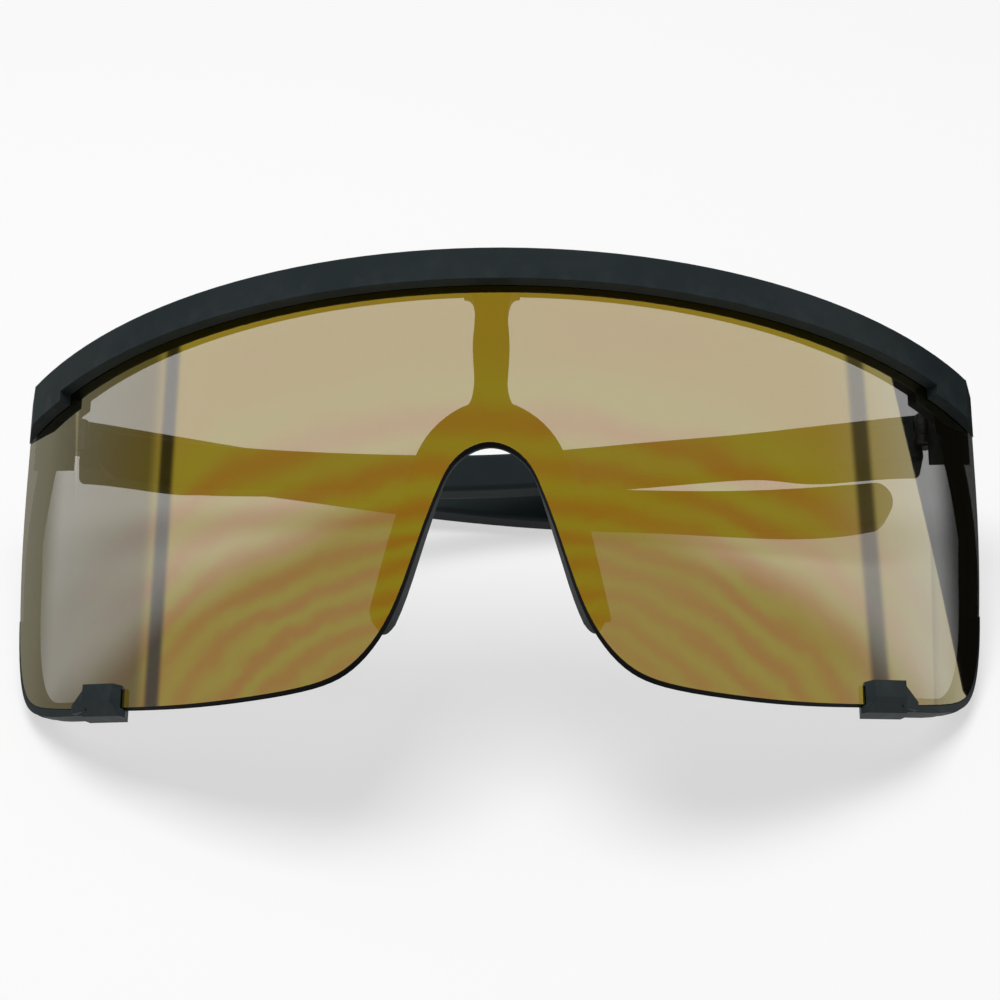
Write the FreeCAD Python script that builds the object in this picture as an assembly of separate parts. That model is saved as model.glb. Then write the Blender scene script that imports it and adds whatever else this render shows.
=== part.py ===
import FreeCAD, Part
import math
import os

from FreeCAD import Vector

# Shield sunglasses, folded and lying on their back. Millimetres.
# Everything is first built as worn: Y towards the face, Z up, and X to the right as seen
# from in front, which is also what right and left mean in the names. Z = 0 is the brow's top
# and Y = 0 the middle of its front. The whole is laid down at the end.

# Front frame
FRONT_WIDTH = 150.0
WRAP_ANGLE = 57.93
BROW_HEIGHT = 5.5
BROW_DEPTH = 5.6
BROW_LEAD = 2.1
BROW_EDGE = 0.4
BLOCK_WIDTH = 5.6
BLOCK_DROP = 1.8
LUG_WIDTH = 7.0
LUG_DROP = 3.2
LUG_FLAT = 3.5
GUSSET_WIDTH = 7.0
GUSSET_DROP = 6.0
RAIL_WIDTH = 1.3
RAIL_FLARE = 3.6
RAIL_THICK = 1.2
LIP_WIDTH = 1.3
HOOK_LEAD = 3.0
HOOK_WIDTH = 7.2
HOOK_BEVEL = 2.4
HOOK_REACH = 3.4
HOOK_WALL = 1.2
HOOK_WEB = 1.7

# Lens
LENS_THICK = 1.6
LENS_OVERHANG = 1.34
LENS_LOW = 69.1
GROOVE_DEPTH = 2.5
LENS_FIT = 0.1

# Nose bridge
POST_WIDTH = 5.6
POST_FLARE = 1.6
BRIDGE_THICK = 2.6
BRIDGE_WIDTH = 5.2
LEG_WIDTH = 3.6
CROWN_LEDGE = 1.2
LEG_LEDGE = 0.1
PAD_THICK = 1.8
PAD_INSET = 1.2
PAD_NECK = 2.8
PAD_WAIST = 2.0
PAD_DEPTH = 7.0
PAD_SPLAY = 4.1
PAD_TUCK = 1.7
PAD_EDGE = 0.5
PAD_LENGTH = 16.0
PAD_STUD = 2.2
PAD_GAP = 0.15
PAD_FIT = 0.02
PEG_IN_LEG = 1.8
PEG_IN_PAD = 1.6

# Hinges
PIN_INSET = 6.0
PIN_SETBACK = 10.0
BARREL_RADIUS = 1.5
BARREL_HEIGHT = 5.0
BARREL_TOP = -2.0
LEAF_THICK = 1.0
LEAF_LENGTH = 6.4
SCREW_RADIUS = 0.7
SCREW_HEAD_RADIUS = 1.3
SCREW_HEAD_HEIGHT = 0.6
SLOT_WIDTH = 0.4
SLOT_DEPTH = 0.3
PIN_FIT = 0.04
KNUCKLE_GAP = 0.1
TURN_GAP = 0.3
BUTT_GAP = 0.15

# Temples
TEMPLE_LENGTH = 133.0
TEMPLE_TOP = -0.5
TEMPLE_HEIGHT = 6.2
ROOT_HEIGHT = 8.6
ROOT_ROUND = 1.0
TEMPLE_EDGE = 0.7
TIP_HEIGHT = 8.4
TEMPLE_THICK = 4.0
ROOT_THICK = 7.0
TIP_THICK = 3.2
TEMPLE_DROP = 8.4
TEMPLE_BOW = 8.2
TIP_INSET = 12.5
ROOT_ANGLE = 15.5
REAR_TEMPLE_ANGLE = 8.5

# Lying down
LIE_TILT = 31.54

UP = Vector(0, 0, 1)
ACROSS = Vector(1, 0, 0)
END_X = FRONT_WIDTH / 2
BROW_RADIUS = END_X / math.sin(math.radians(WRAP_ANGLE))
END_Y = BROW_RADIUS * (1 - math.cos(math.radians(WRAP_ANGLE)))
AXIS = Vector(0, BROW_RADIUS, 0)
BEYOND = 2 * FRONT_WIDTH
PIN_X = END_X - PIN_INSET
PIN_Y = END_Y + PIN_SETBACK
LENS_FRONT = BROW_RADIUS - BROW_LEAD
LENS_HALF_ARC = LENS_FRONT * math.asin((END_X + LENS_OVERHANG) / LENS_FRONT)
LENS_BACK = LENS_FRONT - LENS_THICK
BROW_BACK = BROW_RADIUS - BROW_DEPTH
LENS_TOP = GROOVE_DEPTH - BROW_HEIGHT
BLOCK_LOW = -BROW_HEIGHT - BLOCK_DROP
LUG_INNER = PIN_X + LEAF_THICK / 2
LUG_OUTER = LUG_INNER + LUG_WIDTH
LUG_REAR = PIN_Y - BUTT_GAP
BRIDGE_FRONT = LENS_BACK - LENS_FIT
BRIDGE_BACK = BRIDGE_FRONT - BRIDGE_THICK
RAIL_FRONT = LENS_BACK - LENS_FIT
RAIL_BACK = RAIL_FRONT - RAIL_THICK

# The lens's lower edge from the nose to the temple side:
# share of the half arc, share of the depth below the brow's top.
LENS_EDGE = [
    (0.0, 0.463),
    (0.057, 0.505),
    (0.078, 0.560),
    (0.116, 0.713),
    (0.151, 0.850),
    (0.181, 0.919),
    (0.228, 0.975),
    (0.292, 0.997),
    (0.358, 1.0),
    (0.502, 0.983),
    (0.662, 0.935),
    (0.823, 0.868),
    (0.903, 0.810),
    (0.947, 0.716),
    (0.974, 0.579),
    (0.995, 0.376),
    (1.0, 0.170),
]


def solid_of(shape):
    """The single solid in a shape, cleaned of seams left by joining."""
    shape = shape.removeSplitter()
    solids = shape.Solids
    if len(solids) != 1:
        raise ValueError("expected one solid, found %d" % len(solids))
    return solids[0]


def mirrored(shape):
    return shape.mirror(Vector(0, 0, 0), ACROSS)


def prism(points, low, high):
    """An upright prism on an (x, y) outline."""
    corners = [Vector(x, y, low) for x, y in points]
    face = Part.Face(Part.makePolygon(corners + corners[:1]))
    return face.extrude(Vector(0, 0, high - low))


def at(angle, radius, z=0.0):
    """A point on a cylinder about the front's axis, angle in radians from straight ahead."""
    return Vector(radius * math.sin(angle), BROW_RADIUS - radius * math.cos(angle), z)


def ring(inner, outer, half_angle, low, high):
    """A curved bar about the front's axis, from minus to plus half_angle."""
    a = -half_angle
    b = half_angle
    front = Part.Arc(at(a, outer, low), at(0, outer, low), at(b, outer, low)).toShape()
    back = Part.Arc(at(b, inner, low), at(0, inner, low), at(a, inner, low)).toShape()
    right = Part.makeLine(at(b, outer, low), at(b, inner, low))
    left = Part.makeLine(at(a, inner, low), at(a, outer, low))
    face = Part.Face(Part.Wire([front, right, back, left]))
    return face.extrude(Vector(0, 0, high - low))


def bent(run):
    """A run of (arc, z) points on the flat sheet, as a curve in (angle, z)."""
    if len(run) == 2:
        flat = [FreeCAD.Base.Vector2d(1.5 * math.pi + arc / LENS_FRONT, z) for arc, z in run]
        return Part.Geom2d.Line2dSegment(flat[0], flat[1])
    sheet = Part.Geom2d.BSplineCurve2d()
    sheet.interpolate([FreeCAD.Base.Vector2d(arc, z) for arc, z in run])
    poles = [FreeCAD.Base.Vector2d(1.5 * math.pi + p.x / LENS_FRONT, p.y) for p in sheet.getPoles()]
    curve = Part.Geom2d.BSplineCurve2d()
    curve.buildFromPolesMultsKnots(
        poles, sheet.getMultiplicities(), sheet.getKnots(), False, sheet.Degree
    )
    return curve


def wrapped(runs, front, back):
    """A plate bent about the front's axis. Each run is a list of (arc, z) points, arc along
    the lens's front: two points are a straight line, more are a smooth curve."""
    surface = Part.Cylinder()
    surface.Center = AXIS
    surface.Axis = UP
    surface.Radius = front
    edges = [bent(run).toShape(surface) for run in runs]
    face = Part.Face(surface, Part.Wire(edges))
    return face.makeOffsetShape(back - front, 0.0001, fill=True)


def spline(points):
    curve = Part.BSplineCurve()
    curve.interpolate(points)
    return curve.toShape()


def lens_edge():
    return [(a * LENS_HALF_ARC, -d * LENS_LOW) for a, d in LENS_EDGE]


def both_sides(points):
    """A run from the middle to the right, carried on over the middle to the left."""
    return [(-x, z) for x, z in reversed(points[1:])] + points


def shifted(points, distances):
    """Points moved sideways off the run they lie on, each by its own distance."""
    out = []
    for i, (x, z) in enumerate(points):
        before = points[max(i - 1, 0)]
        after = points[min(i + 1, len(points) - 1)]
        dx = after[0] - before[0]
        dz = after[1] - before[1]
        size = math.hypot(dx, dz)
        out.append((x + distances[i] * dz / size, z - distances[i] * dx / size))
    return out


def make_lens():
    """One bent sheet, its top edge in the brow's groove."""
    return solid_of(lens_blank(0.0))


def lens_blank(room):
    """The lens, or the space it needs with room to spare all round."""
    edge = both_sides(lens_edge())
    edge = shifted(edge, [room] * len(edge))
    top = [(edge[0][0], LENS_TOP + room), (edge[-1][0], LENS_TOP + room)]
    runs = [top, [top[1], edge[-1]], list(reversed(edge)), [edge[0], top[0]]]
    return wrapped(runs, LENS_FRONT + room, LENS_BACK - room)


def make_groove():
    """The groove under the brow that takes the lens's top edge."""
    half = LENS_HALF_ARC / LENS_FRONT + 0.2
    return ring(LENS_BACK - LENS_FIT, LENS_FRONT + LENS_FIT, half, BLOCK_LOW - 1, LENS_TOP + LENS_FIT)


def make_side():
    """Right end of the frame: end block, hinge lug, rail behind the lens, lip and hook."""
    corner = math.asin(FRONT_WIDTH / 2 / BROW_RADIUS)
    step = math.asin((FRONT_WIDTH / 2 - BLOCK_WIDTH) / BROW_RADIUS)
    inner = math.asin(LUG_INNER / BROW_BACK)
    front = Part.Arc(at(step, BROW_RADIUS), at((step + corner) / 2, BROW_RADIUS), at(corner, BROW_RADIUS))
    back = Part.Arc(at(inner, BROW_BACK), at((step + inner) / 2, BROW_BACK), at(step, BROW_BACK))
    outline = [
        at(corner, BROW_RADIUS),
        Vector(LUG_OUTER, PIN_Y - LUG_FLAT, 0),
        Vector(LUG_OUTER, LUG_REAR, 0),
        Vector(LUG_INNER, LUG_REAR, 0),
        at(inner, BROW_BACK),
    ]
    edges = [front.toShape()]
    for a, b in zip(outline, outline[1:]):
        edges.append(Part.makeLine(a, b))
    edges.append(back.toShape())
    edges.append(Part.makeLine(at(step, BROW_BACK), at(step, BROW_RADIUS)))
    block = Part.Face(Part.Wire(edges)).extrude(Vector(0, 0, BLOCK_LOW)).cut(make_groove())

    behind = at(math.asin(LUG_INNER / RAIL_FRONT), RAIL_FRONT)
    lug = prism(
        [
            (LUG_INNER, behind.y - 2.0),
            (LUG_INNER, LUG_REAR),
            (LUG_OUTER, LUG_REAR),
            (LUG_OUTER, PIN_Y - LUG_FLAT),
        ],
        BLOCK_LOW - LUG_DROP,
        BLOCK_LOW + 1.0,
    )
    lug = lug.common(Part.makeCylinder(RAIL_FRONT, BEYOND, AXIS - UP * BEYOND / 2, UP))

    edge = lens_edge()
    run = list(reversed(edge[10:]))
    flare = [0.0, 1.0, 0.95, 0.8, 0.5, 0.3, 0.3]
    outside = shifted(run, [-share * RAIL_FLARE for share in flare])
    inside = shifted(run, [RAIL_WIDTH] * len(run))[1:]
    foot = BLOCK_LOW - LUG_DROP
    knee = (run[0][0] - 0.63 * GUSSET_WIDTH, foot - GUSSET_DROP)
    gusset = [(run[0][0] - GUSSET_WIDTH, foot), knee, inside[0]]
    top = BLOCK_LOW + 1.0
    rail = wrapped(
        [
            [(outside[0][0], top), outside[0]],
            outside,
            [outside[-1], inside[-1]],
            list(reversed(inside)),
            list(reversed(gusset)),
            [gusset[0], (gusset[0][0], top)],
            [(gusset[0][0], top), (outside[0][0], top)],
        ],
        RAIL_FRONT,
        RAIL_BACK,
    )

    low = run[2:]
    under = shifted(low, [RAIL_WIDTH / 2] * len(low))
    beyond = shifted(low, [-share * LIP_WIDTH for share in (0.23, 0.46, 0.77, 1.0, 1.0)])
    lip = wrapped(
        [under, [under[-1], beyond[-1]], list(reversed(beyond)), [beyond[0], under[0]]],
        LENS_FRONT,
        RAIL_BACK,
    )
    clasp = lip.multiFuse([make_hook(edge), make_web(edge)]).cut(lens_blank(LENS_FIT))
    return block.multiFuse([lug, rail, clasp])


def make_hook(edge):
    """The clip round the lens's lower edge, its ends square to the front view, not yet hollow."""
    mid = edge[10]
    after = edge[11]
    before = edge[9]
    slope = math.degrees(math.atan2(after[1] - before[1], after[0] - before[0]))
    back = LENS_THICK + 2 * LENS_FIT + RAIL_THICK
    profile = [
        (-back, -LIP_WIDTH),
        (0.1, -LIP_WIDTH),
        (HOOK_WALL + 2 * LENS_FIT, 0.7),
        (HOOK_WALL, HOOK_REACH),
        (-back, HOOK_REACH),
    ]
    corners = [Vector(-HOOK_WIDTH, -r, z) for r, z in profile]
    clip = Part.Face(Part.makePolygon(corners + corners[:1])).extrude(ACROSS * 2 * HOOK_WIDTH)
    angle = mid[0] / LENS_FRONT
    clip.rotate(Vector(0, 0, 0), Vector(0, -1, 0), slope)
    clip.rotate(Vector(0, 0, 0), UP, math.degrees(angle))
    clip.translate(at(angle, LENS_FRONT, mid[1]))
    near = LENS_FRONT * math.sin(angle) - HOOK_LEAD
    far = near + HOOK_WIDTH
    keep = prism([(near, 0), (far, 0), (far, BROW_RADIUS), (near, BROW_RADIUS)], -BEYOND, 0)
    front = LENS_FRONT + HOOK_WALL
    face = at(math.asin(near / front), front).y
    bevel = prism(
        [
            (near - 1, face - HOOK_BEVEL),
            (near + HOOK_BEVEL, face - HOOK_BEVEL),
            (near + HOOK_BEVEL, face + 0.6 * HOOK_BEVEL),
            (near, face + 0.9 * HOOK_BEVEL),
            (near - 1, face + 0.9 * HOOK_BEVEL),
        ],
        -BEYOND,
        0,
    )
    return clip.common(keep).cut(bevel)


def make_web(edge):
    """The small web between the hook's outer side and the lip, in front of the lens."""
    reach = LENS_FRONT * math.sin(edge[10][0] / LENS_FRONT) - HOOK_LEAD + HOOK_WIDTH
    start = LENS_FRONT * math.asin(reach / LENS_FRONT)
    rise = (edge[11][1] - edge[10][1]) / (edge[11][0] - edge[10][0])
    foot = edge[10][1] + rise * (start - edge[10][0])
    low = [(start - HOOK_WEB, foot - LIP_WIDTH), (start + HOOK_WEB, foot + rise * HOOK_WEB - LIP_WIDTH)]
    high = [(start + HOOK_WEB, foot + rise * HOOK_WEB), (start - HOOK_WEB, foot + 1.7 * HOOK_WEB)]
    runs = [low, [low[1], high[0]], high, [high[1], low[0]]]
    return wrapped(runs, LENS_FRONT + 0.8 * HOOK_WALL, RAIL_BACK)


def nose_edge():
    """The arch's inner edge on the right: the lens's nose cut, set back under the lens."""
    run = lens_edge()[:5]
    ledge = [CROWN_LEDGE, 0.7 * CROWN_LEDGE, 0.4 * CROWN_LEDGE, LEG_LEDGE, LEG_LEDGE]
    full = shifted(both_sides(run), [-d for d in reversed(ledge[1:])] + [-d for d in ledge])
    return full[4:]


def make_bridge():
    """Post behind the lens and the arch round the nose cut, in one piece with the brow."""
    right = nose_edge()
    inner = both_sides(right)
    widths = [1.28 * BRIDGE_WIDTH, 1.08 * BRIDGE_WIDTH, 0.95 * BRIDGE_WIDTH, 0.9 * BRIDGE_WIDTH, LEG_WIDTH]
    outer = shifted(inner, [-w for w in reversed(widths[1:])] + [-w for w in widths])
    feet = []
    for a, b in ((inner[-1], outer[-1]), (outer[0], inner[0])):
        feet.append([a, ((a[0] + b[0]) / 2, min(a[1], b[1]) - 0.4 * LEG_WIDTH), b])
    arch = wrapped([inner, feet[0], list(reversed(outer)), feet[1]], BRIDGE_FRONT, BRIDGE_BACK)

    half = POST_WIDTH / 2
    flare = POST_FLARE
    top = -BROW_HEIGHT
    crown = outer[len(outer) // 2][1]
    rim = [
        (half + flare, top),
        (half + 0.3 * flare, top - 0.3 * flare),
        (half, top - flare),
        (half, (top + crown) / 2),
        (half, crown + 0.4 * flare),
        (half + 0.2 * flare, crown - 0.2 * flare),
        (half + flare, crown - flare),
    ]
    rim_left = [(-x, z) for x, z in reversed(rim)]
    post = wrapped(
        [
            rim,
            [rim[-1], rim_left[0]],
            rim_left,
            [rim_left[-1], (rim_left[-1][0], top + 1.0)],
            [(rim_left[-1][0], top + 1.0), (rim[0][0], top + 1.0)],
            [(rim[0][0], top + 1.0), rim[0]],
        ],
        BRIDGE_FRONT,
        BRIDGE_BACK,
    )
    return arch.fuse(post)


def stud_point(share):
    """A point on the middle of the right arch leg, at its back."""
    edge = nose_edge()
    a = edge[2]
    b = edge[-1]
    x = a[0] + (b[0] - a[0]) * share + LEG_WIDTH / 2
    z = a[1] + (b[1] - a[1]) * share
    return at(x / LENS_FRONT, BRIDGE_BACK, z)


def make_stud(radius):
    """Two round pegs that hold a pad to its leg."""
    pegs = []
    for share in (0.3, 0.7):
        start = stud_point(share) - Vector(0, PEG_IN_LEG, 0)
        pegs.append(Part.makeCylinder(radius, PEG_IN_LEG + PEG_IN_PAD, start, Vector(0, 1, 0)))
    return pegs


def pad_outline(foot, splay):
    """The right pad's section at a height: a leg's width in front, splayed out to the rear."""
    inner = foot.x - LEG_WIDTH / 2 + PAD_INSET
    corners = [
        Vector(inner, foot.y - PEG_IN_LEG, foot.z),
        Vector(inner + PAD_NECK, foot.y - PEG_IN_LEG, foot.z),
        Vector(inner + 1.14 * PAD_NECK, foot.y + PAD_WAIST, foot.z),
        Vector(inner + splay + PAD_THICK, foot.y + PAD_DEPTH, foot.z),
        Vector(inner + splay, foot.y + PAD_DEPTH, foot.z),
        Vector(inner, foot.y, foot.z),
    ]
    return Part.makePolygon(corners + corners[:1])


def make_pad():
    """Right nose pad: a soft wing behind the arch leg, leaning out to the rear."""
    a = stud_point(0.08)
    b = stud_point(1.0)
    foot = a + (b - a) * (PAD_LENGTH / (b - a).Length)
    wing = Part.makeLoft([pad_outline(a, PAD_SPLAY), pad_outline(foot, PAD_SPLAY - PAD_TUCK)], True, True)
    wing = wing.makeFillet(PAD_EDGE, wing.Edges)
    wing = wing.common(Part.makeCylinder(BRIDGE_BACK - PAD_GAP, BEYOND, AXIS - UP * BEYOND, UP))
    return solid_of(wing.multiFuse(make_stud(PAD_STUD / 2 - PAD_FIT)))


def pin_cylinder(radius, low, high):
    return Part.makeCylinder(radius, high - low, Vector(PIN_X, PIN_Y, low), UP)


def hinge_room():
    """Room for the barrel to turn in, and the way in for the screw above it."""
    low = BARREL_TOP - BARREL_HEIGHT - TURN_GAP
    room = pin_cylinder(BARREL_RADIUS + TURN_GAP, low, BARREL_TOP + KNUCKLE_GAP)
    return room.fuse(pin_cylinder(SCREW_HEAD_RADIUS + TURN_GAP, BARREL_TOP, BEYOND))


def knuckles():
    """Heights of the three knuckles, top to bottom, as (low, high)."""
    size = (BARREL_HEIGHT - 2 * KNUCKLE_GAP) / 3
    out = []
    high = BARREL_TOP
    for _ in range(3):
        out.append((high - size, high))
        high -= size + KNUCKLE_GAP
    return out


def front_plate():
    """The front leaf's plate, let into the lug's inner face."""
    low = BARREL_TOP - BARREL_HEIGHT
    plate = Part.makeBox(LEAF_THICK, LEAF_LENGTH, BARREL_HEIGHT)
    plate.translate(Vector(LUG_INNER, PIN_Y - LEAF_LENGTH, low))
    return plate


def make_front_leaf():
    top, middle, bottom = knuckles()
    leaf = front_plate()
    leaf = leaf.cut(pin_cylinder(BARREL_RADIUS + TURN_GAP, middle[0] - KNUCKLE_GAP, middle[1] + KNUCKLE_GAP))
    for low, high in (top, bottom):
        leaf = leaf.fuse(pin_cylinder(BARREL_RADIUS, low, high))
    bore = pin_cylinder(SCREW_RADIUS + PIN_FIT / 2, BARREL_TOP - BARREL_HEIGHT - 1, BARREL_TOP + 1)
    return solid_of(leaf.cut(bore))


def temple_plate():
    """The temple leaf's plate on the unfolded right side, let into the temple's inner face."""
    low = BARREL_TOP - BARREL_HEIGHT
    start = BARREL_RADIUS + TURN_GAP + 0.4
    plate = Part.makeBox(LEAF_THICK, LEAF_LENGTH - start + 2.0, BARREL_HEIGHT)
    plate.translate(Vector(LUG_INNER, PIN_Y + start, low))
    middle = knuckles()[1]
    neck = Part.makeBox(LEAF_THICK, start + 0.5, middle[1] - middle[0])
    neck.translate(Vector(LUG_INNER, PIN_Y, middle[0]))
    plate = plate.fuse(neck)
    plate.rotate(Vector(PIN_X, PIN_Y, 0), UP, -ROOT_ANGLE)
    return plate


def make_temple_leaf():
    middle = knuckles()[1]
    leaf = temple_plate().fuse(pin_cylinder(BARREL_RADIUS, middle[0], middle[1]))
    return solid_of(leaf.cut(pin_cylinder(SCREW_RADIUS + PIN_FIT, middle[0] - 1, middle[1] + 1)))


def make_screw():
    low = BARREL_TOP - BARREL_HEIGHT
    shank = pin_cylinder(SCREW_RADIUS, low - 0.2, BARREL_TOP + 0.1)
    head = pin_cylinder(SCREW_HEAD_RADIUS, BARREL_TOP, BARREL_TOP + SCREW_HEAD_HEIGHT)
    slot = Part.makeBox(2 * SCREW_HEAD_RADIUS, SLOT_WIDTH, SLOT_DEPTH)
    rim = BARREL_TOP + SCREW_HEAD_HEIGHT
    slot.translate(Vector(PIN_X - SCREW_HEAD_RADIUS, PIN_Y - SLOT_WIDTH / 2, rim - SLOT_DEPTH))
    return solid_of(shank.fuse(head).cut(slot))


def make_temple():
    """Right temple, unfolded: it runs towards +Y from the pin and bows outward."""
    start = BUTT_GAP
    lean = math.tan(math.radians(ROOT_ANGLE))
    length = TEMPLE_LENGTH
    inner = [
        (start, 0.5 + start * lean),
        (0.055 * length, 0.5 + 0.055 * length * lean),
        (0.11 * length, 0.4 + 0.11 * length * lean),
        (0.23 * length, 0.9 * TEMPLE_BOW),
        (0.35 * length, TEMPLE_BOW),
        (0.53 * length, 0.8 * TEMPLE_BOW),
        (0.72 * length, 0.0),
        (0.86 * length, -0.45 * TIP_INSET),
        (length, -TIP_INSET),
    ]
    thick = [
        ROOT_THICK,
        ROOT_THICK,
        0.97 * ROOT_THICK,
        1.18 * TEMPLE_THICK,
        1.06 * TEMPLE_THICK,
        TEMPLE_THICK,
        0.92 * TEMPLE_THICK,
        0.5 * (TEMPLE_THICK + TIP_THICK),
        TIP_THICK,
    ]
    outer = [(u, v + t) for (u, v), t in zip(inner, thick)]
    low = -BEYOND / 2
    near = [Vector(PIN_X + v, PIN_Y + u, low) for u, v in inner]
    far = [Vector(PIN_X + v, PIN_Y + u, low) for u, v in outer]
    plan = Part.Wire(
        [
            spline(near),
            Part.makeLine(near[-1], far[-1]),
            spline(list(reversed(far))),
            Part.makeLine(far[0], near[0]),
        ]
    )
    bar = Part.Face(plan).extrude(UP * BEYOND)

    tops = [
        (start + ROOT_ROUND, 0.0),
        (0.09 * length, -0.04),
        (0.145 * length, -0.045),
        (0.19 * length, -0.03),
        (0.23 * length, -0.01),
        (0.3 * length, 0.045),
        (0.45 * length, 0.28),
        (0.53 * length, 0.44),
        (0.63 * length, 0.63),
        (0.73 * length, 0.81),
        (0.83 * length, 0.94),
        (0.92 * length, 1.0),
        (length - 3.0, 1.03),
    ]
    tall = [
        ROOT_HEIGHT,
        0.945 * ROOT_HEIGHT,
        0.905 * ROOT_HEIGHT,
        1.1 * TEMPLE_HEIGHT,
        1.08 * TEMPLE_HEIGHT,
        1.11 * TEMPLE_HEIGHT,
        1.08 * TEMPLE_HEIGHT,
        1.06 * TEMPLE_HEIGHT,
        1.08 * TEMPLE_HEIGHT,
        1.1 * TEMPLE_HEIGHT,
        0.5 * (1.1 * TEMPLE_HEIGHT + TIP_HEIGHT),
        TIP_HEIGHT,
        0.95 * TIP_HEIGHT,
    ]
    upper = [Vector(0, PIN_Y + u, TEMPLE_TOP - d * TEMPLE_DROP) for u, d in tops]
    lower = [p - UP * h for p, h in zip(upper, tall)]
    tip = Vector(0, PIN_Y + length - 0.2, (upper[-1].z + lower[-1].z) / 2)
    butt = [lower[0] + Vector(0, -ROOT_ROUND, ROOT_ROUND), upper[0] - Vector(0, ROOT_ROUND, ROOT_ROUND)]
    nook = Vector(0, (1 - math.sqrt(0.5)) * ROOT_ROUND, -math.sqrt(0.5) * ROOT_ROUND)
    side = Part.Wire(
        [
            spline(upper),
            Part.Arc(upper[-1], tip, lower[-1]).toShape(),
            spline(list(reversed(lower))),
            Part.Arc(lower[0], butt[0] + nook, butt[0]).toShape(),
            Part.makeLine(butt[0], butt[1]),
            Part.Arc(butt[1], butt[1] + Vector(0, nook.y, -nook.z), upper[0]).toShape(),
        ]
    )
    cheek = Part.Face(side).extrude(ACROSS * BEYOND)
    return bar.common(cheek)


def finish_temple(temple):
    """Softens the long edges, then lets in the leaf and clears the barrel."""
    long_edges = [e for e in temple.Edges if e.Length > 0.6 * TEMPLE_LENGTH]
    temple = temple.makeFillet(TEMPLE_EDGE, long_edges)
    temple = temple.cut(temple_plate())
    return solid_of(temple.cut(hinge_room()))


def is_brow_edge(edge):
    """The brow's long upper edges, front and back."""
    return edge.Length > 0.8 * FRONT_WIDTH and edge.BoundBox.ZMin > -0.01


def make_frame():
    """Brow, ends, rails, hooks and nose bridge, moulded in one piece."""
    step = math.asin((FRONT_WIDTH / 2 - BLOCK_WIDTH) / BROW_RADIUS)
    brow = ring(BROW_BACK, BROW_RADIUS, step + 0.01, -BROW_HEIGHT, 0).cut(make_groove())
    side = make_side()
    frame = brow.multiFuse([side, mirrored(side), make_bridge()]).removeSplitter()
    frame = frame.makeFillet(BROW_EDGE, [e for e in frame.Edges if is_brow_edge(e)])
    for tool in [front_plate(), hinge_room()] + make_stud(PAD_STUD / 2):
        frame = frame.cut(tool)
        frame = frame.cut(mirrored(tool))
    return solid_of(frame)


def folded(shape, angle):
    """The unfolded right temple turned in behind the lens, short of the full fold by angle."""
    shape = shape.copy()
    shape.rotate(Vector(PIN_X, PIN_Y, 0), UP, 90 - angle)
    return shape


def laid_down(shape):
    shape = shape.copy()
    shape.rotate(Vector(0, 0, 0), ACROSS, LIE_TILT - 90)
    return shape


def main():
    lens = make_lens()
    pad = make_pad()
    front_leaf = make_front_leaf()
    screw = make_screw()
    temple = finish_temple(make_temple())
    temple_leaf = make_temple_leaf()
    parts = {
        "front_frame": make_frame(),
        "shield_lens": lens,
        "nose_pad_right": pad,
        "nose_pad_left": mirrored(pad),
        "front_hinge_leaf_right": front_leaf,
        "front_hinge_leaf_left": mirrored(front_leaf),
        "hinge_screw_right": screw,
        "hinge_screw_left": mirrored(screw),
        "temple_right": folded(temple, 0),
        "temple_left": mirrored(folded(temple, REAR_TEMPLE_ANGLE)),
        "temple_hinge_leaf_right": folded(temple_leaf, 0),
        "temple_hinge_leaf_left": mirrored(folded(temple_leaf, REAR_TEMPLE_ANGLE)),
    }
    parts = {name: laid_down(shape) for name, shape in parts.items()}
    box = FreeCAD.BoundBox()
    for shape in parts.values():
        box.add(shape.optimalBoundingBox(False, False))
    move = Vector(-box.Center.x, -box.Center.y, -box.ZMin)
    os.makedirs("parts", exist_ok=True)
    for name, shape in parts.items():
        shape.translate(move)
        shape.exportStep("parts/%s.step" % name)
        print(name, shape.ShapeType, shape.isValid(), round(shape.Volume, 1))
    print("moved", move, "box", box)


main()
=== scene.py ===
"""Shield sunglasses, folded and lying on their back: finishes, soft pads, studio and camera."""
import logging
import math
from dataclasses import dataclass
from enum import Enum
from typing import Any, Union

import bpy
from mathutils import Matrix, Vector


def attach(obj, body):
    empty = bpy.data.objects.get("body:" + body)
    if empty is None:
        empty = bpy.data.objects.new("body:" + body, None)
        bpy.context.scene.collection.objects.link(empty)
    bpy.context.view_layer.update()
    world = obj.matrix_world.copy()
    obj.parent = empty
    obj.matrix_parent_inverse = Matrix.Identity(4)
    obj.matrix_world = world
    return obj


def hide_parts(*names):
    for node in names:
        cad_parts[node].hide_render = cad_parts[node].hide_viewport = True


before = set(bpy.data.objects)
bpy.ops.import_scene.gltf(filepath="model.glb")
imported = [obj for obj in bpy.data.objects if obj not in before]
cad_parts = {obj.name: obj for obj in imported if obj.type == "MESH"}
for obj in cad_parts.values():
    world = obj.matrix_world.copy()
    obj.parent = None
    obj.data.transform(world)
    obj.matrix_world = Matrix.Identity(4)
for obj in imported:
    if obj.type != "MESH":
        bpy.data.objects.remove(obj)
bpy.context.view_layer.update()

LOG = logging.getLogger("shield_sunglasses")
MM = 0.001
Colour = tuple[float, float, float]
Triple = tuple[float, float, float]
Band = tuple[float, float]


class Slot(Enum):
    """The finishes that the record names."""

    PLASTIC = "frame_plastic"
    LENS = "tinted_lens"
    PAD = "soft_pad"
    METAL = "hinge_metal"


class Side(Enum):
    """The two sides of the glasses, as seen from in front."""

    RIGHT = "right"
    LEFT = "left"


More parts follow.
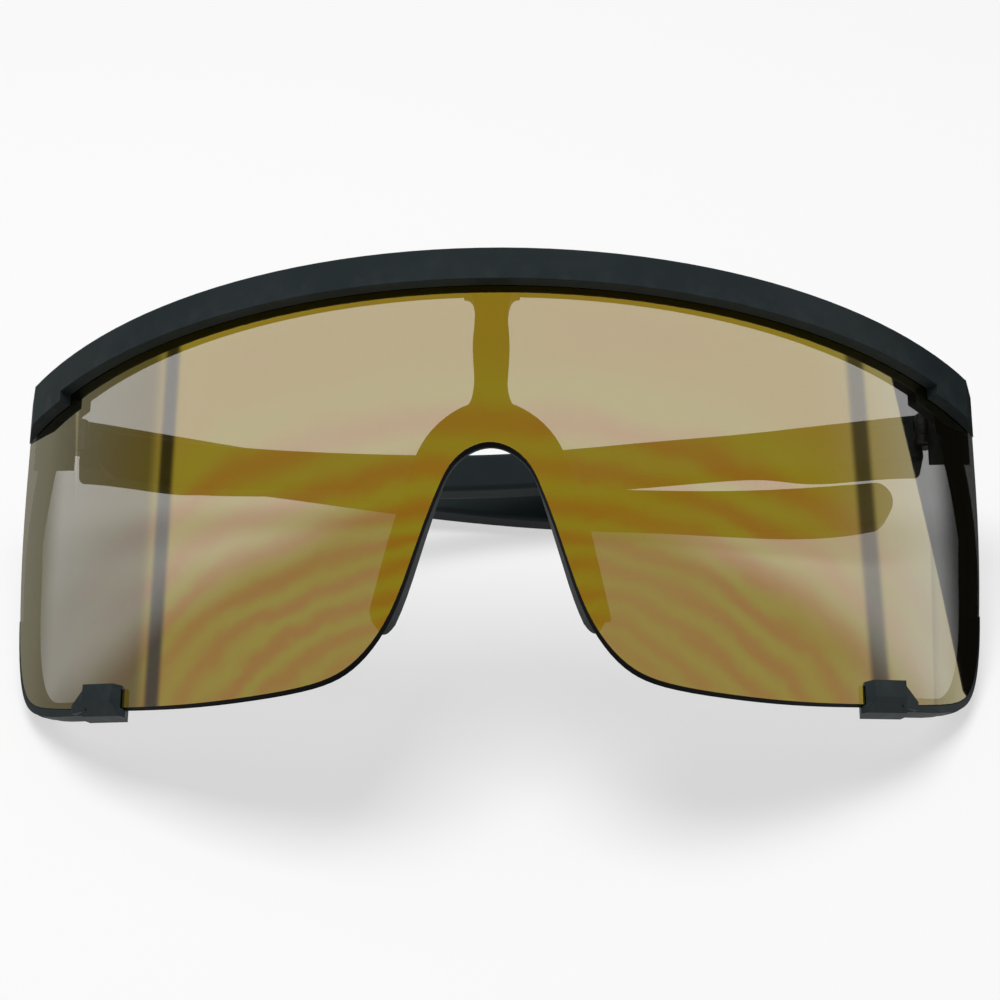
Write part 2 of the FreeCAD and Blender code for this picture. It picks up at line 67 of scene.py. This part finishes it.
@dataclass(frozen=True)
class Lying:
    """How the glasses lie: from wearing axes in mm to the frame's axes in metres.

    In wearing axes X is to the right, Y towards the face and Z up, from the top of the brow.
    """

    tilt: float = 31.54
    move_y: float = 9.9701
    move_z: float = 67.1232

    @property
    def turn(self) -> float:
        """The turn about X, in radians."""
        return math.radians(self.tilt - 90)

    def direction(self, way: Triple) -> Vector:
        """A wearing direction, turned as the glasses lie."""
        return Matrix.Rotation(self.turn, 3, "X") @ Vector(way)

    def point(self, place: Triple) -> Vector:
        """A wearing point in mm as a point of the frame in metres."""
        return (self.direction(place) + Vector((0, self.move_y, self.move_z))) * MM


LYING = Lying()
RIGHTWARD = LYING.direction((1, 0, 0))
FORWARD = LYING.direction((0, -1, 0))
UPWARD = LYING.direction((0, 0, 1))


class Wire:
    """A shader socket that takes part in Python expressions."""

    def __init__(self, bench: "Bench", socket: bpy.types.NodeSocket) -> None:
        """Keeps the bench that the socket's node stands on."""
        self.bench = bench
        self.socket = socket

    def maths(self, operation: str, *values: Any) -> "Wire":
        """Adds a Math node.

        Args:
            operation: The Math node's operation.
            values: Its inputs, in order.

        Returns:
            The node's result.
        """
        return self.bench.add("ShaderNodeMath", {"operation": operation}, dict(enumerate(values)))

    def __add__(self, other: Any) -> "Wire":
        """Sum."""
        return self.maths("ADD", self, other)

    def __radd__(self, other: Any) -> "Wire":
        """Sum, with the number first."""
        return self.maths("ADD", other, self)

    def __sub__(self, other: Any) -> "Wire":
        """Difference."""
        return self.maths("SUBTRACT", self, other)

    def __rsub__(self, other: Any) -> "Wire":
        """Difference, with the number first."""
        return self.maths("SUBTRACT", other, self)

    def __mul__(self, other: Any) -> "Wire":
        """Product."""
        return self.maths("MULTIPLY", self, other)

    def __rmul__(self, other: Any) -> "Wire":
        """Product, with the number first."""
        return self.maths("MULTIPLY", other, self)

    def __truediv__(self, other: Any) -> "Wire":
        """Quotient."""
        return self.maths("DIVIDE", self, other)

    def __rtruediv__(self, other: Any) -> "Wire":
        """Quotient, with the number first."""
        return self.maths("DIVIDE", other, self)

    def __pow__(self, other: Any) -> "Wire":
        """Power."""
        return self.maths("POWER", self, other)

    def __rpow__(self, other: Any) -> "Wire":
        """Power, with the number first."""
        return self.maths("POWER", other, self)

    def __abs__(self) -> "Wire":
        """Size without the sign."""
        return self.maths("ABSOLUTE", self)

    def larger(self, other: Any) -> "Wire":
        """The larger of two."""
        return self.maths("MAXIMUM", self, other)

    def angle(self, other: Any) -> "Wire":
        """The angle of a direction, in radians, from its two parts."""
        return self.maths("ARCTAN2", self, other)

    def cosine(self) -> "Wire":
        """Cosine of an angle in radians."""
        return self.maths("COSINE", self)

    def above(self, low: float, high: float) -> "Wire":
        """A soft step.

        Args:
            low: Where it is still 0.
            high: Where it has become 1.

        Returns:
            The step.
        """
        settings = {"interpolation_type": "SMOOTHSTEP", "clamp": True}
        return self.bench.add("ShaderNodeMapRange", settings, {0: self, 1: low, 2: high, 3: 0.0, 4: 1.0})

    def near(self, middle: float, half: float, soft: float) -> "Wire":
        """A soft band.

        Args:
            middle: The band's middle.
            half: Half of its width.
            soft: The width of its soft edge.

        Returns:
            1 in the band and 0 away from it.
        """
        return 1 - abs(self - middle).above(half, half + soft)


Feed = Union[Wire, float, tuple]


class Bench:
    """A node tree under work."""

    def __init__(self, tree: bpy.types.NodeTree) -> None:
        """Empties the tree."""
        self.tree = tree
        tree.nodes.clear()

    def add(self, kind: str, settings: dict[str, Any], feeds: dict[Any, Feed], out: Any = None) -> Wire:
        """Adds any node.

        Args:
            kind: The node's type.
            settings: Its properties, set before the sockets.
            feeds: Values or links of its inputs, by name or number.
            out: The output wanted, by name or number; the first shown one if None.

        Returns:
            The output.
        """
        node = self.tree.nodes.new(kind)
        for key, value in settings.items():
            setattr(node, key, value)
        for key, value in feeds.items():
            self.feed(node.inputs[key], value)
        if out is None:
            return Wire(self, next(socket for socket in node.outputs if socket.enabled))
        return Wire(self, node.outputs[out])

    def feed(self, socket: bpy.types.NodeSocket, value: Feed) -> None:
        """Links or sets one input.

        Args:
            socket: The input.
            value: A wire to link, or a value to set.
        """
        if isinstance(value, Wire):
            self.tree.links.new(value.socket, socket)
        elif isinstance(value, tuple) and len(socket.default_value) == 4:
            socket.default_value = (*value[:3], 1.0)
        else:
            socket.default_value = value

    def blend(self, share: Feed, first: Feed, second: Feed) -> Wire:
        """Mixes two colours.

        Args:
            share: The second one's share.
            first: The first colour.
            second: The second colour.

        Returns:
            The mixed colour.
        """
        settings = {"data_type": "RGBA", "blend_type": "MIX", "clamp_factor": True}
        return self.add("ShaderNodeMix", settings, {0: share, 6: first, 7: second}, out=2)

    def place(self) -> Wire:
        """Where the surface is, in the frame's metres, fixed to the piece."""
        return self.add("ShaderNodeTexCoord", {}, {}, out="Object")

    def along(self, place: Wire, way: Vector) -> Wire:
        """How far a place lies along a direction."""
        settings = {"operation": "DOT_PRODUCT"}
        return self.add("ShaderNodeVectorMath", settings, {0: place, 1: tuple(way)}, out="Value")

    def noise(self, place: Wire, size: float, detail: float = 3.0, rough: float = 0.55) -> Wire:
        """Cloudy noise.

        Args:
            place: Where it is read.
            size: The size of its clouds, in metres.
            detail: Its octaves.
            rough: How strong the finer octaves are.

        Returns:
            A value round 0.5.
        """
        feeds = {"Vector": place, "Scale": 1 / size, "Detail": detail, "Roughness": rough}
        return self.add("ShaderNodeTexNoise", {}, feeds, out="Fac")

    def bump(self, height: Wire, depth: float, strength: float, normal: Wire | None = None) -> Wire:
        """A bumped normal.

        Args:
            height: The height, from 0 to 1.
            depth: The depth that 1 stands for, in metres.
            strength: The bump's share.
            normal: The normal that it starts from, if not the surface's own.

        Returns:
            The normal.
        """
        feeds = {"Strength": strength, "Distance": depth, "Height": height}
        if normal is not None:
            feeds["Normal"] = normal
        return self.add("ShaderNodeBump", {}, feeds)

    def surface(self, feeds: dict[str, Feed]) -> None:
        """Ends the tree with a surface.

        Args:
            feeds: The values and links of the Principled shader.
        """
        shader = self.add("ShaderNodeBsdfPrincipled", {}, feeds)
        self.add_output("ShaderNodeOutputMaterial", shader)

    def add_output(self, kind: str, shader: Wire) -> None:
        """Adds the output node.

        Args:
            kind: Its type.
            shader: What it shows.
        """
        node = self.tree.nodes.new(kind)
        self.feed(node.inputs["Surface"], shader)


def new_material(name: str) -> tuple[bpy.types.Material, Bench]:
    """Makes an empty material.

    Args:
        name: Its name.

    Returns:
        The material and the bench of its nodes.
    """
    material = bpy.data.materials.new(name)
    material.use_nodes = True
    return material, Bench(material.node_tree)


@dataclass(frozen=True)
class MouldedPlastic:
    """Satin black plastic out of a spark-eroded mould."""

    colour: Colour = (0.0120, 0.0178, 0.0195)
    pale: Colour = (0.0165, 0.0228, 0.0245)
    rubbed: Colour = (0.034, 0.041, 0.043)
    roughness: float = 0.52
    cloud_swing: float = 0.12
    grain_swing: float = 0.16
    rub_polish: float = 0.08
    specular: float = 0.11
    grain: float = 0.16
    grain_depth: float = 0.02
    grain_strength: float = 0.5
    cloud: float = 14.0
    cloud_band: Band = (0.35, 0.68)
    smear: float = 3.2
    smear_band: Band = (0.42, 0.66)
    edge: float = 0.22
    edge_samples: int = 6
    edge_band: Band = (0.53, 0.62)
    rub_share: float = 0.4

    def material(self) -> bpy.types.Material:
        """Makes the finish.

        Returns:
            The material.
        """
        material, bench = new_material("satin_black_plastic")
        place = bench.place()
        grain = bench.noise(place, self.grain * MM, detail=2.0, rough=0.6)
        cloud = bench.noise(place, self.cloud * MM)
        smear = bench.noise(place, self.smear * MM, detail=4.0, rough=0.65)
        round_edge = bench.add("ShaderNodeBevel", {"samples": self.edge_samples}, {"Radius": self.edge * MM})
        pointed = bench.add("ShaderNodeNewGeometry", {}, {}, out="Pointiness")
        shade = bench.blend(cloud.above(*self.cloud_band), self.colour, self.pale)
        rub = pointed.above(*self.edge_band) * smear.above(*self.smear_band) * self.rub_share
        matt = self.roughness + (cloud - 0.5) * self.cloud_swing + (grain - 0.5) * self.grain_swing
        bench.surface({
            "Base Color": bench.blend(rub, shade, self.rubbed),
            "Roughness": matt - rub * self.rub_polish,
            "Specular IOR Level": self.specular,
            "Normal": bench.bump(grain, self.grain_depth * MM, self.grain_strength, round_edge),
        })
        return material


@dataclass(frozen=True)
class GoldMirrorLens:
    """Tinted sheet with a gold semi-mirror on its front and a plain, dark back, with painted shade that
    makes the lower part denser and darker and the ends denser, and a painted reflection that turns the ends
    paler.
    """

    olive: Colour = (0.315, 0.245, 0.0140)
    # Painted reflection: the paler, greyer mirror colour towards the lens ends, as the mirror looks at a
    # slant.
    amber: Colour = (0.332, 0.160, 0.0115)
    painted_reflection_tint: Colour = (0.360, 0.335, 0.205)
    back: Colour = (0.030, 0.027, 0.018)
    rim: Colour = (0.003, 0.003, 0.003)
    cover: float = 0.745
    # Painted shade: the cover rises and the mirror darkens towards the bottom, earlier in the middle, in
    # place of the table's shadow seen through the lower lens.
    painted_shade_cover: float = 0.195
    # Painted shade: the lens ends let less through, darkening what shows behind them.
    painted_shade_end_cover: float = 0.215
    painted_shade_band: Band = (47.0, 60.0)
    painted_shade_lift: float = 21.0
    painted_shade_fall: float = 0.38
    painted_shade_end_band: Band = (77.0, 85.0)
    painted_reflection_band: Band = (50.0, 82.0)
    painted_reflection_share: float = 0.8
    cloud: float = 30.0
    cloud_swing: float = 10.0
    smudge: float = 9.0
    smudge_swing: float = 0.02
    roughness: float = 0.035
    rim_roughness: float = 0.8
    rim_band: Band = (0.6, 0.8)
    specular: float = 0.5
    skin_step: float = 0.05
    front_radius: float = 86.405
    back_radius: float = 84.805
    axis_y: float = 88.505
    ring_height: float = -74.0
    ring_stretch: float = 2.1
    ring_start: float = 26.0
    ring_rate: float = 0.233
    ring_slowing: float = 0.0032
    ring_shift: float = 0.33
    ring_wobble: float = 6.0
    wobble_size: float = 11.0
    patch_size: float = 22.0
    patch_band: Band = (0.3, 0.7)
    patch_share: float = 0.7
    patch_least: float = 0.5
    ring_least: float = 0.2
    strong_band: Band = (6.0, 20.0)
    strong_share: float = 0.65
    upper_band: Band = (44.0, 56.0)
    upper_shift: float = 0.24
    upper_loss: float = 0.4
    fine_size: float = 0.5
    fine_swing: float = 0.2

    def material(self) -> bpy.types.Material:
        """Makes the finish.

        Returns:
            The material.
        """
        material, bench = new_material("gold_mirror_lens")
        material.use_backface_culling = True
        place = bench.place()
        axis = LYING.point((0, self.axis_y, 0))
        from_axis = bench.add("ShaderNodeVectorMath", {"operation": "SUBTRACT"}, {0: place, 1: tuple(axis)})
        side = bench.along(from_axis, RIGHTWARD) / MM
        ahead = bench.along(from_axis, FORWARD) / MM
        height = bench.along(from_axis, UPWARD) / MM
        arc = side.angle(ahead) * self.front_radius
        radius = (side ** 2.0 + ahead ** 2.0) ** 0.5
        middle = 0.5 * (self.front_radius + self.back_radius)
        front = radius.above(middle - self.skin_step, middle + self.skin_step)
        rim = self.rim_mask(bench, side, ahead, radius)
        cloud = bench.noise(place, self.cloud * MM, detail=2.0)
        drift = cloud * self.cloud_swing - 0.5 * self.cloud_swing
        # Painted shade: how deep a point lies in the darker, denser lower part, with cloudy edges.
        depth = drift + self.painted_shade_lift - height - abs(arc) * self.painted_shade_fall
        low = depth.above(*self.painted_shade_band)
        # Painted shade: the ends of the lens, where the cover rises.
        end = abs(arc).above(*self.painted_shade_end_band)
        gold = self.gold(bench, place, arc, height)
        # Painted reflection: the mirror colour turns paler and greyer towards the ends.
        gold = bench.blend(abs(arc).above(*self.painted_reflection_band) * self.painted_reflection_share, gold, self.painted_reflection_tint)
        # Painted shade: darkens the mirror colour where the cover rises, so the lower lens reads darker.
        painted_shade_darkening = self.painted_shade_cover / (self.cover + self.painted_shade_cover)
        gold = bench.blend(low * painted_shade_darkening, gold, (0.0, 0.0, 0.0))
        colour = bench.blend(rim, bench.blend(front, self.back, gold), self.rim)
        inside = bench.add("ShaderNodeNewGeometry", {}, {}, out="Backfacing")
        smudge = bench.noise(place, self.smudge * MM, detail=4.0, rough=0.6)
        # Painted shade: the cover grows over the lower part and at the ends.
        cover = self.cover + low * self.painted_shade_cover + (1 - low) * end * self.painted_shade_end_cover
        bench.surface({
            "Base Color": colour,
            "Metallic": front.larger(rim),
            "Roughness": self.roughness + smudge * self.smudge_swing + rim * self.rim_roughness,
            "Alpha": (1 - inside) * (cover + rim * (1 - cover)),
            "Specular IOR Level": self.specular,
        })
        return material

    def rim_mask(self, bench: Bench, side: Wire, ahead: Wire, radius: Wire) -> Wire:
        """Finds the sheet's cut edge.

        Args:
            bench: The bench.
            side: The distance from the bend's axis to the right.
            ahead: The distance from it to the front.
            radius: The distance from it.

        Returns:
            1 on the edge and 0 on both skins.
        """
        normal = bench.add("ShaderNodeNewGeometry", {}, {}, out="Normal")
        across = bench.along(normal, RIGHTWARD) * side
        along = bench.along(normal, FORWARD) * ahead
        return 1 - (abs(across + along) / radius).above(*self.rim_band)

    def gold(self, bench: Bench, place: Wire, arc: Wire, height: Wire) -> Wire:
        """Makes the mirror coat's colour, with the rings of a coat that thins outwards.

        Args:
            bench: The bench.
            place: Where the surface is.
            arc: The distance round the bend from the middle, in mm.
            height: The height, in mm.

        Returns:
            The coat's colour.
        """
        wobble = (bench.noise(place, self.wobble_size * MM) - 0.5) * self.ring_wobble
        patch = bench.noise(place, self.patch_size * MM, detail=2.0).above(*self.patch_band)
        patches = patch * self.patch_share + self.patch_least
        above = height - self.ring_height
        reach = ((arc / self.ring_stretch) ** 2.0 + above ** 2.0) ** 0.5 + wobble
        past = reach - self.ring_start
        rings = past * self.ring_rate - past * past * self.ring_slowing - self.ring_shift
        turn = rings * math.tau
        wave = turn.cosine() * 0.5 + 0.5
        fine = bench.noise(place, self.fine_size * MM, detail=2.0, rough=0.6)
        strong = reach.above(*self.strong_band) * self.strong_share
        upper = reach.above(*self.upper_band)
        swing = (wave - 0.5) * patches * (self.ring_least + strong - upper * self.upper_loss)
        share = 0.5 - upper * self.upper_shift + swing + (fine - 0.5) * self.fine_swing
        return bench.blend(share, self.olive, self.amber)


@dataclass(frozen=True)
class SoftRubber:
    """Dull, dark rubber with a fine skin."""

    colour: Colour = (0.012, 0.013, 0.013)
    dusty: Colour = (0.026, 0.027, 0.026)
    roughness: float = 0.62
    dust_swing: float = 0.2
    specular: float = 0.4
    skin: float = 0.3
    skin_depth: float = 0.03
    skin_strength: float = 0.5
    dust: float = 2.4
    dust_band: Band = (0.4, 0.75)

    def material(self) -> bpy.types.Material:
        """Makes the finish.

        Returns:
            The material.
        """
        material, bench = new_material("soft_rubber")
        place = bench.place()
        skin = bench.noise(place, self.skin * MM, rough=0.6)
        dust = bench.noise(place, self.dust * MM, detail=4.0, rough=0.65)
        bench.surface({
            "Base Color": bench.blend(dust.above(*self.dust_band), self.colour, self.dusty),
            "Roughness": self.roughness + (dust - 0.5) * self.dust_swing,
            "Specular IOR Level": self.specular,
            "Normal": bench.bump(skin, self.skin_depth * MM, self.skin_strength),
        })
        return material


@dataclass(frozen=True)
class PlatedSteel:
    """Black-plated hinge steel with fine turning lines."""

    colour: Colour = (0.060, 0.060, 0.062)
    dull: Colour = (0.024, 0.024, 0.025)
    roughness: float = 0.34
    line: float = 0.35
    line_stretch: Triple = (6.0, 1.0, 1.0)
    line_swing: float = 0.2
    line_depth: float = 0.008
    line_strength: float = 0.4
    tarnish: float = 1.6
    tarnish_band: Band = (0.45, 0.75)
    rough_band: Band = (0.5, 0.8)
    tarnish_rough: float = 0.15

    def material(self) -> bpy.types.Material:
        """Makes the finish.

        Returns:
            The material.
        """
        material, bench = new_material("plated_steel")
        place = bench.place()
        stretched = bench.add("ShaderNodeMapping", {}, {"Vector": place, "Scale": self.line_stretch})
        lines = bench.noise(stretched, self.line * MM, detail=2.0)
        tarnish = bench.noise(place, self.tarnish * MM, detail=4.0, rough=0.6)
        dulled = tarnish.above(*self.rough_band) * self.tarnish_rough
        bench.surface({
            "Base Color": bench.blend(tarnish.above(*self.tarnish_band), self.colour, self.dull),
            "Metallic": 1.0,
            "Roughness": self.roughness + (lines - 0.5) * self.line_swing + dulled,
            "Normal": bench.bump(lines, self.line_depth * MM, self.line_strength),
        })
        return material


Finishes = dict[Slot, bpy.types.Material]


def dress(node: str, material: bpy.types.Material) -> None:
    """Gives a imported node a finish.

    Args:
        node: The node's name.
        material: The finish.
    """
    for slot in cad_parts[node].material_slots:
        slot.material = material
    LOG.info("dressed %s with %s", node, material.name)


@dataclass
class Front:
    """The moulded front with its lens and the hinge leaves let into it."""

    finishes: Finishes

    def build(self) -> None:
        """Dresses the front's pieces."""
        dress("front_frame", self.finishes[Slot.PLASTIC])
        dress("shield_lens", self.finishes[Slot.LENS])
        for side in Side:
            dress(f"front_hinge_leaf_{side.value}", self.finishes[Slot.METAL])
            dress(f"hinge_screw_{side.value}", self.finishes[Slot.METAL])


@dataclass
class Temples:
    """The two temples with their hinge leaves."""

    finishes: Finishes

    def build(self) -> None:
        """Dresses the temples' pieces."""
        for side in Side:
            dress(f"temple_{side.value}", self.finishes[Slot.PLASTIC])
            dress(f"temple_hinge_leaf_{side.value}", self.finishes[Slot.METAL])


@dataclass
class NosePads:
    """The two soft pads on the legs of the nose arch."""

    finishes: Finishes
    voxel: float = 0.22
    passes: int = 4
    relax: float = 0.5

    def build(self) -> None:
        """Makes each pad from its solid, with soft edges."""
        for side in Side:
            self.pad(side)

    def pad(self, side: Side) -> bpy.types.Object:
        """Makes one pad.

        Args:
            side: Its side.

        Returns:
            The pad.
        """
        node = f"nose_pad_{side.value}"
        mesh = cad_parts[node].data.copy()
        mesh.name = f"soft_{node}"
        mesh.materials.clear()
        mesh.materials.append(self.finishes[Slot.PAD])
        pad = bpy.data.objects.new(f"soft_{node}", mesh)
        bpy.context.scene.collection.objects.link(pad)
        self.soften(pad)
        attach(pad, "front")
        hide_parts(node)
        LOG.info("built %s", pad.name)
        return pad

    def soften(self, pad: bpy.types.Object) -> None:
        """Rounds a pad's edges.

        Args:
            pad: The pad.
        """
        remesh = pad.modifiers.new("skin", "REMESH")
        remesh.mode = "VOXEL"
        remesh.voxel_size = self.voxel * MM
        relax = pad.modifiers.new("relax", "SMOOTH")
        relax.factor = self.relax
        relax.iterations = self.passes
        graph = bpy.context.evaluated_depsgraph_get()
        mesh = bpy.data.meshes.new_from_object(pad.evaluated_get(graph))
        pad.modifiers.clear()
        mesh.polygons.foreach_set("use_smooth", [True] * len(mesh.polygons))
        pad.data = mesh


@dataclass(frozen=True)
class Card:
    """A folded card beside the glasses that only mirrors show: one leaf stands, one lies on the table."""

    name: str
    fold: float
    near: float
    standing: tuple[Band, ...]
    lying: Band
    shade: float
    lift: float = 0.1

    def build(self) -> bpy.types.Object:
        """Sets the card up.

        Returns:
            The card.
        """
        mesh = bpy.data.meshes.new(self.name)
        points = [(self.fold, y, z) for y, z in self.standing]
        points += [(self.near, y, self.lift) for y in self.lying]
        count = len(self.standing)
        faces = [tuple(range(count)), (0, 1, count + 1, count)]
        mesh.from_pydata([Vector(point) * MM for point in points], [], faces)
        material, bench = new_material(self.name)
        glow = bench.add("ShaderNodeEmission", {}, {"Color": (self.shade,) * 3, "Strength": 1.0})
        bench.add_output("ShaderNodeOutputMaterial", glow)
        mesh.materials.append(material)
        card = bpy.data.objects.new(self.name, mesh)
        card.visible_camera = False
        card.visible_diffuse = False
        card.visible_shadow = False
        card.visible_transmission = False
        bpy.context.scene.collection.objects.link(card)
        return card


CARDS = (
    Card(
        name="black_card",
        fold=95.0,
        near=77.0,
        standing=((-0.4, 0.1), (260.0, 0.1), (260.0, 120.0), (96.8, 120.0)),
        lying=(-13.0, 260.0),
        shade=0.008,
    ),
    Card(
        name="grey_card",
        fold=-95.0,
        near=-77.0,
        standing=((-20.0, 0.1), (200.0, 0.1), (200.0, 100.0), (-20.0, 8.0)),
        lying=(-26.0, 200.0),
        shade=0.36,
    ),
)


@dataclass
class Studio:
    """White floor, soft light and the camera.

    The gaps are the middle, half width and soft edge of a dark band in the sky, in degrees.
    """

    floor_size: float = 6.0
    floor_colour: Colour = (0.93, 0.93, 0.93)
    floor_white: float = 0.58
    floor_drop: float = 0.02
    ambient: float = 0.3
    key_power: float = 6.8
    key_size: float = 0.6
    key_place: Triple = (-0.12, 0.05, 0.93)
    focal: float = 113.04
    sensor: float = 36.0
    view_azimuth: float = 1.73
    view_elevation: float = -27.03
    view_roll: float = 0.42
    view_distance: float = 450.0
    view_target: Triple = (1.6, 0.0, -42.57)
    view_start: float = 0.01
    looked_at: Triple = (0.0, 0.0, 0.03)
    left_gap: Triple = (-78.2, 1.2, 1.6)
    left_gap_share: float = 0.9
    left_room: Band = (-84.0, -79.0)
    left_room_share: float = 0.63
    right_gap: Triple = (100.2, 1.6, 2.0)
    right_gap_share: float = 0.8
    right_gap_lean: float = 30.0

    def build(self) -> None:
        """Sets the studio up."""
        scene = bpy.context.scene
        scene.view_settings.view_transform = "Standard"
        self.floor()
        for card in CARDS:
            card.build()
        self.world()
        self.key()
        scene.camera = self.camera()

    def floor(self) -> bpy.types.Object:
        """Makes the table top.

        Returns:
            The floor.
        """
        half = 0.5 * self.floor_size
        mesh = bpy.data.meshes.new("floor")
        corners = [(-half, -half, 0), (half, -half, 0), (half, half, 0), (-half, half, 0)]
        mesh.from_pydata(corners, [], [(0, 1, 2, 3)])
        floor = bpy.data.objects.new("floor", mesh)
        floor.location.z = -self.floor_drop * MM
        bpy.context.scene.collection.objects.link(floor)
        material, bench = new_material("white_table")
        matt = bench.add("ShaderNodeBsdfDiffuse", {}, {"Color": self.floor_colour})
        white = bench.add("ShaderNodeEmission", {}, {"Strength": 1.0})
        share = self.seen(bench) * self.floor_white
        floor_look = bench.add("ShaderNodeMixShader", {}, {0: share, 1: matt, 2: white})
        bench.add_output("ShaderNodeOutputMaterial", floor_look)
        mesh.materials.append(material)
        return floor

    @staticmethod
    def seen(bench: Bench) -> Wire:
        """1 for what the camera sees directly, through glass or in a mirror."""
        camera = bench.add("ShaderNodeLightPath", {}, {}, out="Is Camera Ray")
        glossy = bench.add("ShaderNodeLightPath", {}, {}, out="Is Glossy Ray")
        through = bench.add("ShaderNodeLightPath", {}, {}, out="Is Transmission Ray")
        return camera.larger(glossy).larger(through)

    def world(self) -> None:
        """Makes the white room, with the dark gaps that the lens mirrors."""
        world = bpy.data.worlds.new("white_room")
        world.use_nodes = True
        bpy.context.scene.world = world
        bench = Bench(world.node_tree)
        way = bench.add("ShaderNodeTexCoord", {}, {}, out="Generated")
        right = bench.along(way, RIGHTWARD)
        ahead = bench.along(way, FORWARD)
        up = bench.along(way, UPWARD)
        turn = right.angle(ahead) * (180 / math.pi)
        gap_left = turn.near(*self.left_gap) * self.left_gap_share
        room_left = (1 - turn.above(*self.left_room)) * self.left_room_share
        gap_right = (turn + up * self.right_gap_lean).near(*self.right_gap) * self.right_gap_share
        mirrored = (1 - gap_left) * (1 - room_left) * (1 - gap_right)
        glossy = bench.add("ShaderNodeLightPath", {}, {}, out="Is Glossy Ray")
        seen = self.seen(bench)
        level = glossy * mirrored + (seen - glossy) + (1 - seen) * self.ambient
        room = bench.add("ShaderNodeBackground", {}, {"Strength": level, "Color": (1.0, 1.0, 1.0)})
        bench.add_output("ShaderNodeOutputWorld", room)

    def key(self) -> None:
        """Hangs the soft box."""
        lamp = bpy.data.lights.new("soft_box", "AREA")
        lamp.shape = "SQUARE"
        lamp.size = self.key_size
        lamp.energy = self.key_power
        soft_box = bpy.data.objects.new("soft_box", lamp)
        soft_box.location = self.key_place
        way = Vector(self.looked_at) - Vector(self.key_place)
        soft_box.rotation_euler = way.to_track_quat("-Z", "Y").to_euler()
        soft_box.visible_glossy = False
        bpy.context.scene.collection.objects.link(soft_box)

    def camera(self) -> bpy.types.Object:
        """Makes the camera at the photograph's angle.

        Returns:
            The camera.
        """
        azimuth = math.radians(self.view_azimuth)
        elevation = math.radians(self.view_elevation)
        roll = math.radians(self.view_roll)
        level = math.cos(elevation)
        back = Vector((math.sin(azimuth) * level, -math.cos(azimuth) * level, math.sin(elevation)))
        flat = Vector((math.cos(azimuth), math.sin(azimuth), 0))
        steep = back.cross(flat)
        right = math.cos(roll) * flat + math.sin(roll) * steep
        up = math.cos(roll) * steep - math.sin(roll) * flat
        place = LYING.point(Vector(self.view_target) + back * self.view_distance)
        columns = [LYING.direction(way) for way in (right, up, back)]
        data = bpy.data.cameras.new("camera")
        data.lens = self.focal
        data.sensor_width = self.sensor
        data.sensor_fit = "HORIZONTAL"
        data.clip_start = self.view_start
        camera = bpy.data.objects.new("camera", data)
        camera.matrix_world = Matrix.Translation(place) @ Matrix(columns).transposed().to_4x4()
        bpy.context.scene.collection.objects.link(camera)
        return camera


def main() -> None:
    """Builds the glasses' looks, sub-assembly by sub-assembly."""
    logging.basicConfig(level=logging.INFO, format="%(message)s")
    Studio().build()
    finishes: Finishes = {
        Slot.PLASTIC: MouldedPlastic().material(),
        Slot.LENS: GoldMirrorLens().material(),
        Slot.PAD: SoftRubber().material(),
        Slot.METAL: PlatedSteel().material(),
    }
    Front(finishes).build()
    NosePads(finishes).build()
    Temples(finishes).build()


if __name__ == "__main__":
    main()
